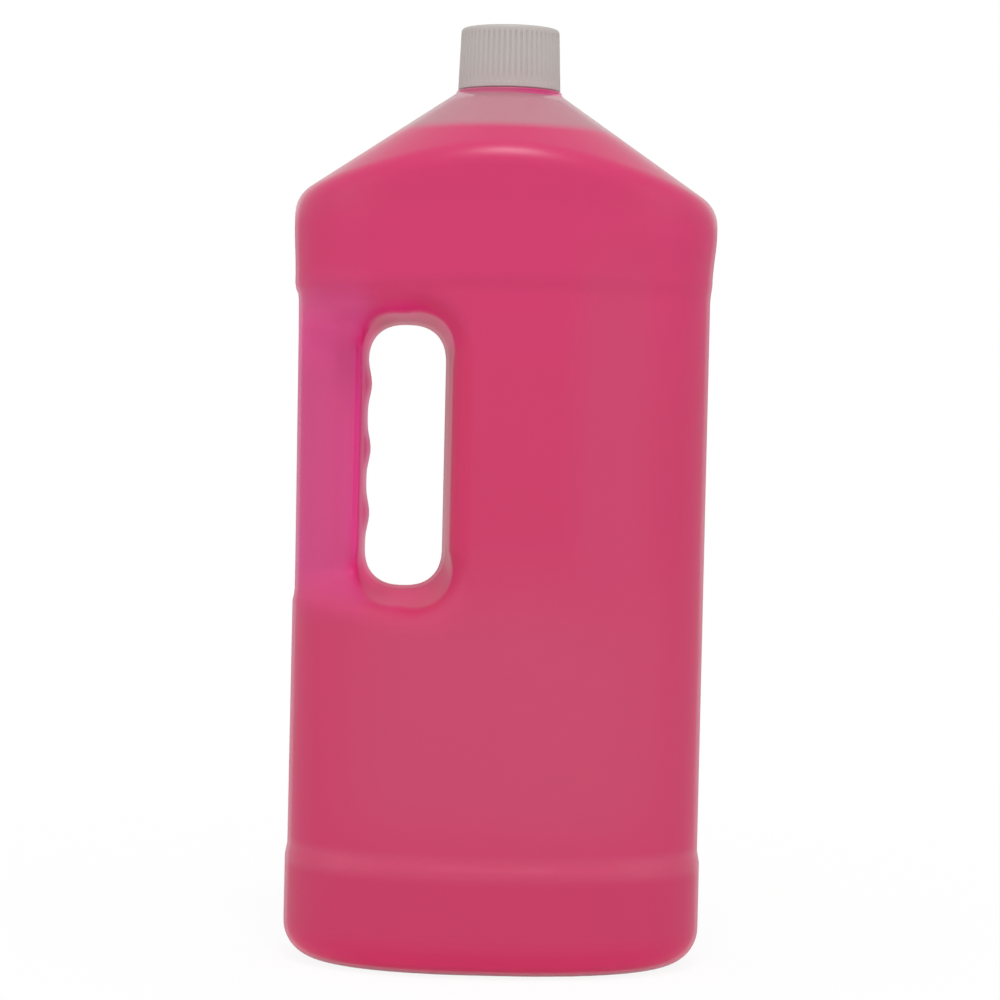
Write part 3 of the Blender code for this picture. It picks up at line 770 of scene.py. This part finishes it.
def shell_material():
    """Natural milky plastic, tinted by the fluid behind it, hazy at grazing angles, with a painted
    glow in the grip.
    """
    colours, body = settings().finish, settings().body
    material = bpy.data.materials.new("milky_shell")
    board = Board(material)
    coords, (x, y, z) = board.place()
    drift = board.noise(coords, 28.0, 2.0) - 0.5
    level = FLUID_HIGH[2]
    wet = 1 - board.step(z + drift * 0.0012, level - 0.0020, level + 0.0016)
    wet_colour, lit = wet_wall_colour(board, coords, x, z)
    colour = board.mix(wet, colours.dry, wet_colour)
    radial = (x * x + y * y) ** 0.5
    film = window(board, radial, *FILM_RADIUS, 0.0010)
    film = film * board.step(z, body.slope_top - 0.0016, body.slope_top - 0.0006)
    colour = board.mix(film * (0.60 + 0.40 * board.step(x, -0.006, 0.012)), colour, colours.film)
    fine = board.noise(coords, 900.0, 2.0)
    ripple = board.noise(coords, 60.0, 2.0, 0.5, (1.0, 1.0, 0.6))
    seam = 1 - board.step(abs(y), 0.00008, 0.00035)
    height = ripple * 0.6 + fine * 0.06 + seam * 0.5
    looks = dict(
        Base_Color=colour,
        Roughness=0.31 + ripple * 0.06 + fine * 0.03,
        Alpha=wet * colours.wall_opacity + (1 - wet) * colours.dry_opacity,
        Normal=board.bump(height, 0.35, 0.0004),
    )
    side = board.plastic(
        Specular_IOR_Level=0.10, Sheen_Weight=0.10, Sheen_Roughness=0.20, Sheen_Tint=colours.bloom,
        # The emission is painted light: a glow in the grip beside the hole for light passing
        # through its thin wall.
        Emission_Color=board.mix(lit, (0.0, 0.0, 0.0), colours.glow), Emission_Strength=1.0,
        **looks
    )
    edge = board.plastic(Specular_IOR_Level=0.42, **looks)
    slope = board.plastic(
        Specular_IOR_Level=0.38, Sheen_Weight=0.9, Sheen_Roughness=0.26,
        Sheen_Tint=colours.slope_bloom, **looks
    )
    below = board.blend(window(board, z, *BASE_EDGE_Z, 0.004), side, edge)
    board.finish(board.blend(board.step(z, *SLOPE_FADE), below, slope))
    return material


def fluid_material():
    """Clear dyed fluid, deep pink, a little paler at its surface."""
    colours = settings().finish
    material = bpy.data.materials.new("pink_fluid")
    board = Board(material)
    coords, (x, y, z) = board.place()
    cloud = board.noise(coords, 14.0, 2.0)
    top = board.step(z, FLUID_HIGH[2] - 0.004, FLUID_HIGH[2])
    colour = board.mix(top * 0.5 + cloud * 0.15, colours.fluid, colours.film)
    board.finish(board.plastic(
        Base_Color=colour, Roughness=0.08 + cloud * 0.05, Specular_IOR_Level=0.20,
        Normal=board.bump(cloud, 0.10, 0.0006),
    ))
    return material


def cap_material():
    """White injection-moulded plastic with faint flow marks, fine scuffs on the rib crests, and
    painted pink light from the fluid low down.
    """
    colours = settings().finish
    material = bpy.data.materials.new("white_cap_plastic")
    board = Board(material)
    coords, (x, y, z) = board.place()
    cloud = board.noise(coords, 120.0, 3.0)
    fine = board.noise(coords, 1800.0, 2.0)
    # Painted pink bounce light from the fluid on the cap's lower part.
    low = 1 - board.step(z, CAP_LOW[2], CAP_LOW[2] + 0.009)
    colour = board.mix(low * 0.75 + (cloud - 0.5) * 0.15, colours.cap, colours.cap_fluid_bounce)
    radial = (x * x + y * y) ** 0.5
    crest = board.step(radial, settings().neck.cap_top_radius - 0.0004, CAP_HIGH[0])
    colour = board.mix(crest * cloud * 0.10, colour, (0.62, 0.58, 0.56))
    board.finish(board.plastic(
        Base_Color=colour,
        Roughness=0.42 + cloud * 0.12,
        Normal=board.bump(cloud * 0.5 + fine * 0.2, 0.25, 0.0002),
        Specular_IOR_Level=0.40,
    ))
    return material


def liner_material():
    """Closed-cell foam: pale, matt and finely pitted."""
    material = bpy.data.materials.new("liner_foam")
    board = Board(material)
    coords, _ = board.place()
    cells = board.add(
        "ShaderNodeTexVoronoi", {"feature": "F1"}, {"Vector": coords, "Scale": 1600.0}
    )
    cloud = board.noise(coords, 160.0, 2.0)
    colour = board.mix(cells * 0.4 + cloud * 0.3, settings().finish.liner, (0.62, 0.60, 0.57))
    board.finish(board.plastic(
        Base_Color=colour, Roughness=0.75 + cells * 0.15, Normal=board.bump(cells, 0.5, 0.0002)
    ))
    return material


class BOTTLE_OT_shell(bpy.types.Operator):
    """Build the moulded shell: body, grip, hole, base and threaded neck"""

    bl_idname = "cleaner_bottle.shell"
    bl_label = "Moulded shell"

    def execute(self, context):
        values = settings()
        body, neck = values.body, values.neck
        margin = 3 * values.shell_cell
        low = [BOTTLE_LOW[0] - margin, BOTTLE_LOW[1] - margin, BOTTLE_LOW[2] - margin]
        ledge = body.slope_top + neck.ledge_rise
        high = [BOTTLE_HIGH[0] + margin, BOTTLE_HIGH[1] + margin, ledge + margin]
        net = net_from_field(skin_field, low, high, values.shell_cell)
        shell = mesh_object("bottle_shell", *net)
        lip = BOTTLE_HIGH[2]
        root = ledge - neck.root_wall
        foot = [
            (neck.radius, ledge + 0.0008),
            *arc((neck.radius + 0.0008, ledge + 0.0008), 0.0008, 180, 270, 5),
            (body.slope_top_radius - 0.0009, ledge),
            *arc((body.slope_top_radius - 0.0009, ledge - 0.0006), 0.0006, 90, 0, 5),
            (body.slope_top_radius - 0.0003, body.slope_top + 0.0003),
            (body.slope_top_radius + 0.0010, body.slope_top - 0.0011),
            (body.slope_top_radius - 0.0010, root + 0.0002),
        ]
        top = arc((neck.radius - 0.0005, lip - 0.0005), 0.0005, 90, 0, 4)
        neck_solid = lathe("neck_solid", [(neck.bore - 0.003, lip), *top, *foot])
        combine(shell, neck_solid, "UNION")
        thread = helix_ridge(
            "neck_thread", neck.radius, 1, ledge + neck.thread_start, neck.neck_turns
        )
        combine(shell, thread, "UNION")
        inside = mesh_object("inside", *net_from_field(inside_field, low, high, values.inside_cell))
        bore = lathe(
            "bore",
            [
                (neck.bore + 0.0004, lip + 0.0010),
                (neck.bore + 0.0004, lip),
                (neck.bore, lip - 0.0004),
                (neck.bore, root + 0.0012),
                (body.slope_top_radius, root - 0.0003),
                (body.slope_top_radius - 0.0020, root - 0.0025),
            ],
        )
        combine(inside, bore, "UNION")
        combine(shell, inside, "DIFFERENCE")
        soften(shell, 38)
        wear_material(shell, shell_material())
        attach(shell, "bottle")
        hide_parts("bottle")
        return {"FINISHED"}


class BOTTLE_OT_fluid(bpy.types.Operator):
    """Fill the shell with fluid up to its level"""

    bl_idname = "cleaner_bottle.fluid"
    bl_label = "Cleaning fluid"

    def execute(self, context):
        values = settings()
        margin = 3 * values.inside_cell
        low = [value - margin for value in FLUID_LOW]
        high = [value + margin for value in FLUID_HIGH]
        net = net_from_field(fluid_field, low, high, values.inside_cell)
        fluid = mesh_object("fluid_fill", *net)
        soften(fluid, 50)
        wear_material(fluid, fluid_material())
        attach(fluid, "bottle")
        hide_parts("cleaning_fluid")
        return {"FINISHED"}


class BOTTLE_OT_cap(bpy.types.Operator):
    """Build the ribbed screw cap with its inner thread"""

    bl_idname = "cleaner_bottle.cap"
    bl_label = "Screw cap"

    def execute(self, context):
        neck = settings().neck
        points_per_rib = 8
        count = neck.ribs * points_per_rib
        phase = (np.arange(count) % points_per_rib) / points_per_rib
        groove = np.clip(1.6 * np.cos(2 * math.pi * phase) - 0.35, 0.0, 1.0)
        edge_z = CAP_HIGH[2] - neck.cap_edge
        rib_low = CAP_LOW[2] + neck.cap_band
        rib_high = CAP_HIGH[2] - neck.cap_plain

        def radius_at(z):
            share = (z - CAP_LOW[2]) / (edge_z - CAP_LOW[2])
            return CAP_HIGH[0] + (neck.cap_top_radius - CAP_HIGH[0]) * share

        levels = [
            (radius_at(CAP_LOW[2]) - 0.0003, CAP_LOW[2], 0.0),
            (radius_at(CAP_LOW[2]), CAP_LOW[2] + 0.0003, 0.0),
            (radius_at(rib_low - 0.0002), rib_low - 0.0002, 0.0),
            (radius_at(rib_low), rib_low, 0.06),
            (radius_at(rib_low + 0.0003), rib_low + 0.0003, 1.0),
        ]
        for step in range(1, 6):
            z = rib_low + (rib_high - rib_low) * step / 6
            levels.append((radius_at(z), z, 1.0))
        levels += [
            (radius_at(rib_high - 0.0004), rib_high - 0.0004, 1.0),
            (radius_at(rib_high - 0.0001), rib_high - 0.0001, 0.5),
            (radius_at(rib_high + 0.0003), rib_high + 0.0003, 0.0),
        ]
        edge_centre = (neck.cap_top_radius - neck.cap_edge, edge_z)
        levels += [(radius, z, 0.0) for radius, z in arc(edge_centre, neck.cap_edge, 0, 90, 6)]
        levels.append((neck.cap_top_radius - 0.0035, CAP_HIGH[2], 0.0))
        rings = []
        for radius, z, share in levels:
            rings.append(ring_points(radius - neck.rib_depth * groove * share, z, count))
        points = np.concatenate(rings)
        faces = [tuple(reversed(range(count)))]
        for level in range(len(levels) - 1):
            for index in range(count):
                after = (index + 1) % count
                base, above = level * count, (level + 1) * count
                faces.append((base + index, base + after, above + after, above + index))
        faces.append(tuple(range(len(points) - count, len(points))))
        cap = mesh_object("ribbed_cap", points, faces)
        wall = neck.radius + neck.thread_height + neck.clearance
        ceiling = CAP_HIGH[2] - neck.cap_roof
        bore = lathe(
            "cap_bore",
            [
                (wall - 0.0006, ceiling),
                (wall, ceiling - 0.0006),
                (wall, CAP_LOW[2] + 0.0006),
                (wall + 0.0006, CAP_LOW[2]),
                (wall + 0.0006, CAP_LOW[2] - 0.001),
            ],
        )
        combine(cap, bore, "DIFFERENCE")
        ledge = settings().body.slope_top + neck.ledge_rise
        thread = helix_ridge(
            "cap_thread", wall, -1, ledge + neck.thread_start - neck.pitch / 2, neck.cap_turns
        )
        combine(cap, thread, "UNION")
        soften(cap, 42)
        wear_material(cap, cap_material())
        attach(cap, "cap")
        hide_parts("cap")
        return {"FINISHED"}


class BOTTLE_OT_liner(bpy.types.Operator):
    """Build the foam liner, pressed in where it meets the lip"""

    bl_idname = "cleaner_bottle.liner"
    bl_label = "Cap liner"

    def execute(self, context):
        neck = settings().neck
        low, high, radius = LINER_LOW[2], LINER_HIGH[2], LINER_HIGH[0]
        profile = [
            (neck.bore * 0.5, high),
            (radius - 0.0003, high),
            (radius, high - 0.0002),
            (radius, low + 0.0003),
            (radius - 0.0003, low + 0.00005),
            (neck.radius + 0.0003, low + 0.00005),
            (neck.radius, low + 0.00018),
            (neck.bore, low + 0.00018),
            (neck.bore - 0.0004, low),
            (neck.bore * 0.5, low),
        ]
        liner = lathe("liner_wad", profile, 96)
        soften(liner, 35)
        wear_material(liner, liner_material())
        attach(liner, "cap_carrier")
        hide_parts("cap_liner")
        return {"FINISHED"}


class BOTTLE_OT_stage(bpy.types.Operator):
    """Set the floor, the soft lights and the camera"""

    bl_idname = "cleaner_bottle.stage"
    bl_label = "Stage"

    def execute(self, context):
        self.floor()
        self.world()
        self.lights()
        self.camera()
        context.scene.view_settings.view_transform = "Standard"
        return {"FINISHED"}

    def floor(self):
        bpy.ops.mesh.primitive_plane_add(size=40, location=(0, 0, -0.0002))
        floor = bpy.context.object
        floor.name = "floor"
        material = bpy.data.materials.new("pale_floor")
        board = Board(material)
        pale = board.plastic(
            Base_Color=settings().finish.floor, Roughness=0.9, Specular_IOR_Level=0.1
        )
        white = board.add("ShaderNodeEmission", None, {"Color": (1.0, 1.0, 1.0)})
        rays = [f"Is {kind} Ray" for kind in ("Camera", "Glossy", "Transmission")]
        camera, glossy, through = (board.add("ShaderNodeLightPath", out=ray) for ray in rays)
        seen = board.larger(board.larger(camera, glossy), through)
        _, (x, y, _) = board.place()
        away = board.step((x * x + y * y) ** 0.5, 0.10, 0.60)
        board.finish(board.blend(seen * (0.90 + away * 0.10), pale, white))
        wear_material(floor, material)

    def world(self):
        world = bpy.data.worlds.new("even_sky")
        bpy.context.scene.world = world
        board = Board(world)
        level, pure_white = settings().stage.world_light, (1.0, 1.0, 1.0)
        sky, white = (
            board.add("ShaderNodeBackground", None, {"Color": pure_white, "Strength": strength})
            for strength in (level, 1.0)
        )
        camera = board.add("ShaderNodeLightPath", out="Is Camera Ray")
        board.finish(board.blend(camera, sky, white), "ShaderNodeOutputWorld")

    def light(self, name, place, aim, power, wide, high):
        data = bpy.data.lights.new(name, "AREA")
        data.shape = "RECTANGLE"
        data.size = wide
        data.size_y = high
        data.energy = power
        lamp = bpy.data.objects.new(name, data)
        lamp.location = place
        lamp.rotation_euler = (Vector(aim) - Vector(place)).to_track_quat("-Z", "Y").to_euler()
        bpy.context.scene.collection.objects.link(lamp)

    def lights(self):
        stage = settings().stage
        self.light("key", (0.04, -0.72, 1.55), (0, 0, 0.20), stage.key_power, 0.36, 0.42)
        self.light("left_fill", (-1.4, -0.5, 0.5), (0, 0, 0.15), stage.fill_power, 0.8, 1.0)
        self.light("right_fill", (1.4, -0.5, 0.5), (0, 0, 0.15), stage.fill_power, 0.8, 1.0)

    def camera(self):
        stage = settings().stage
        data = bpy.data.cameras.new("view")
        data.sensor_width = 36
        data.sensor_fit = "HORIZONTAL"
        data.lens = 36 * stage.distance / stage.frame_width
        data.clip_start = 0.01
        camera = bpy.data.objects.new("view", data)
        centre_z = 0.1434
        tilt = math.atan((stage.eye_height - centre_z) / stage.distance)
        turn = Matrix.Rotation(math.pi / 2 - tilt, 4, "X") @ Matrix.Rotation(stage.roll, 4, "Z")
        camera.matrix_world = Matrix.Translation((0, -stage.distance, stage.eye_height)) @ turn
        bpy.context.scene.collection.objects.link(camera)
        bpy.context.scene.camera = camera


class BOTTLE_PT_panel(bpy.types.Panel):
    """Settings and steps of the dressed bottle"""

    bl_label = "Cleaner bottle"
    bl_idname = "BOTTLE_PT_panel"
    bl_space_type = "VIEW_3D"
    bl_region_type = "UI"
    bl_category = "Bottle"

    def draw(self, context):
        values = context.scene.cleaner_bottle
        for group in ("body", "handle", "neck", "finish", "stage"):
            box = self.layout.box()
            box.label(text=group.capitalize())
            part = getattr(values, group)
            for name in part.__annotations__:
                box.prop(part, name)
        for step in STEPS:
            self.layout.operator(step.bl_idname)


STEPS = (BOTTLE_OT_shell, BOTTLE_OT_fluid, BOTTLE_OT_cap, BOTTLE_OT_liner, BOTTLE_OT_stage)
GROUPS = (BodySizes, HandleSizes, NeckSizes, FinishColours, StageSettings, BottleSettings)
CLASSES = (*GROUPS, *STEPS, BOTTLE_PT_panel)


def register():
    for cls in CLASSES:
        bpy.utils.register_class(cls)
    bpy.types.Scene.cleaner_bottle = bpy.props.PointerProperty(type=BottleSettings)


def unregister():
    del bpy.types.Scene.cleaner_bottle
    for cls in reversed(CLASSES):
        bpy.utils.unregister_class(cls)


def main():
    register()
    for step in STEPS:
        group, name = step.bl_idname.split(".")
        getattr(getattr(bpy.ops, group), name)()


if __name__ == "__main__":
    main()
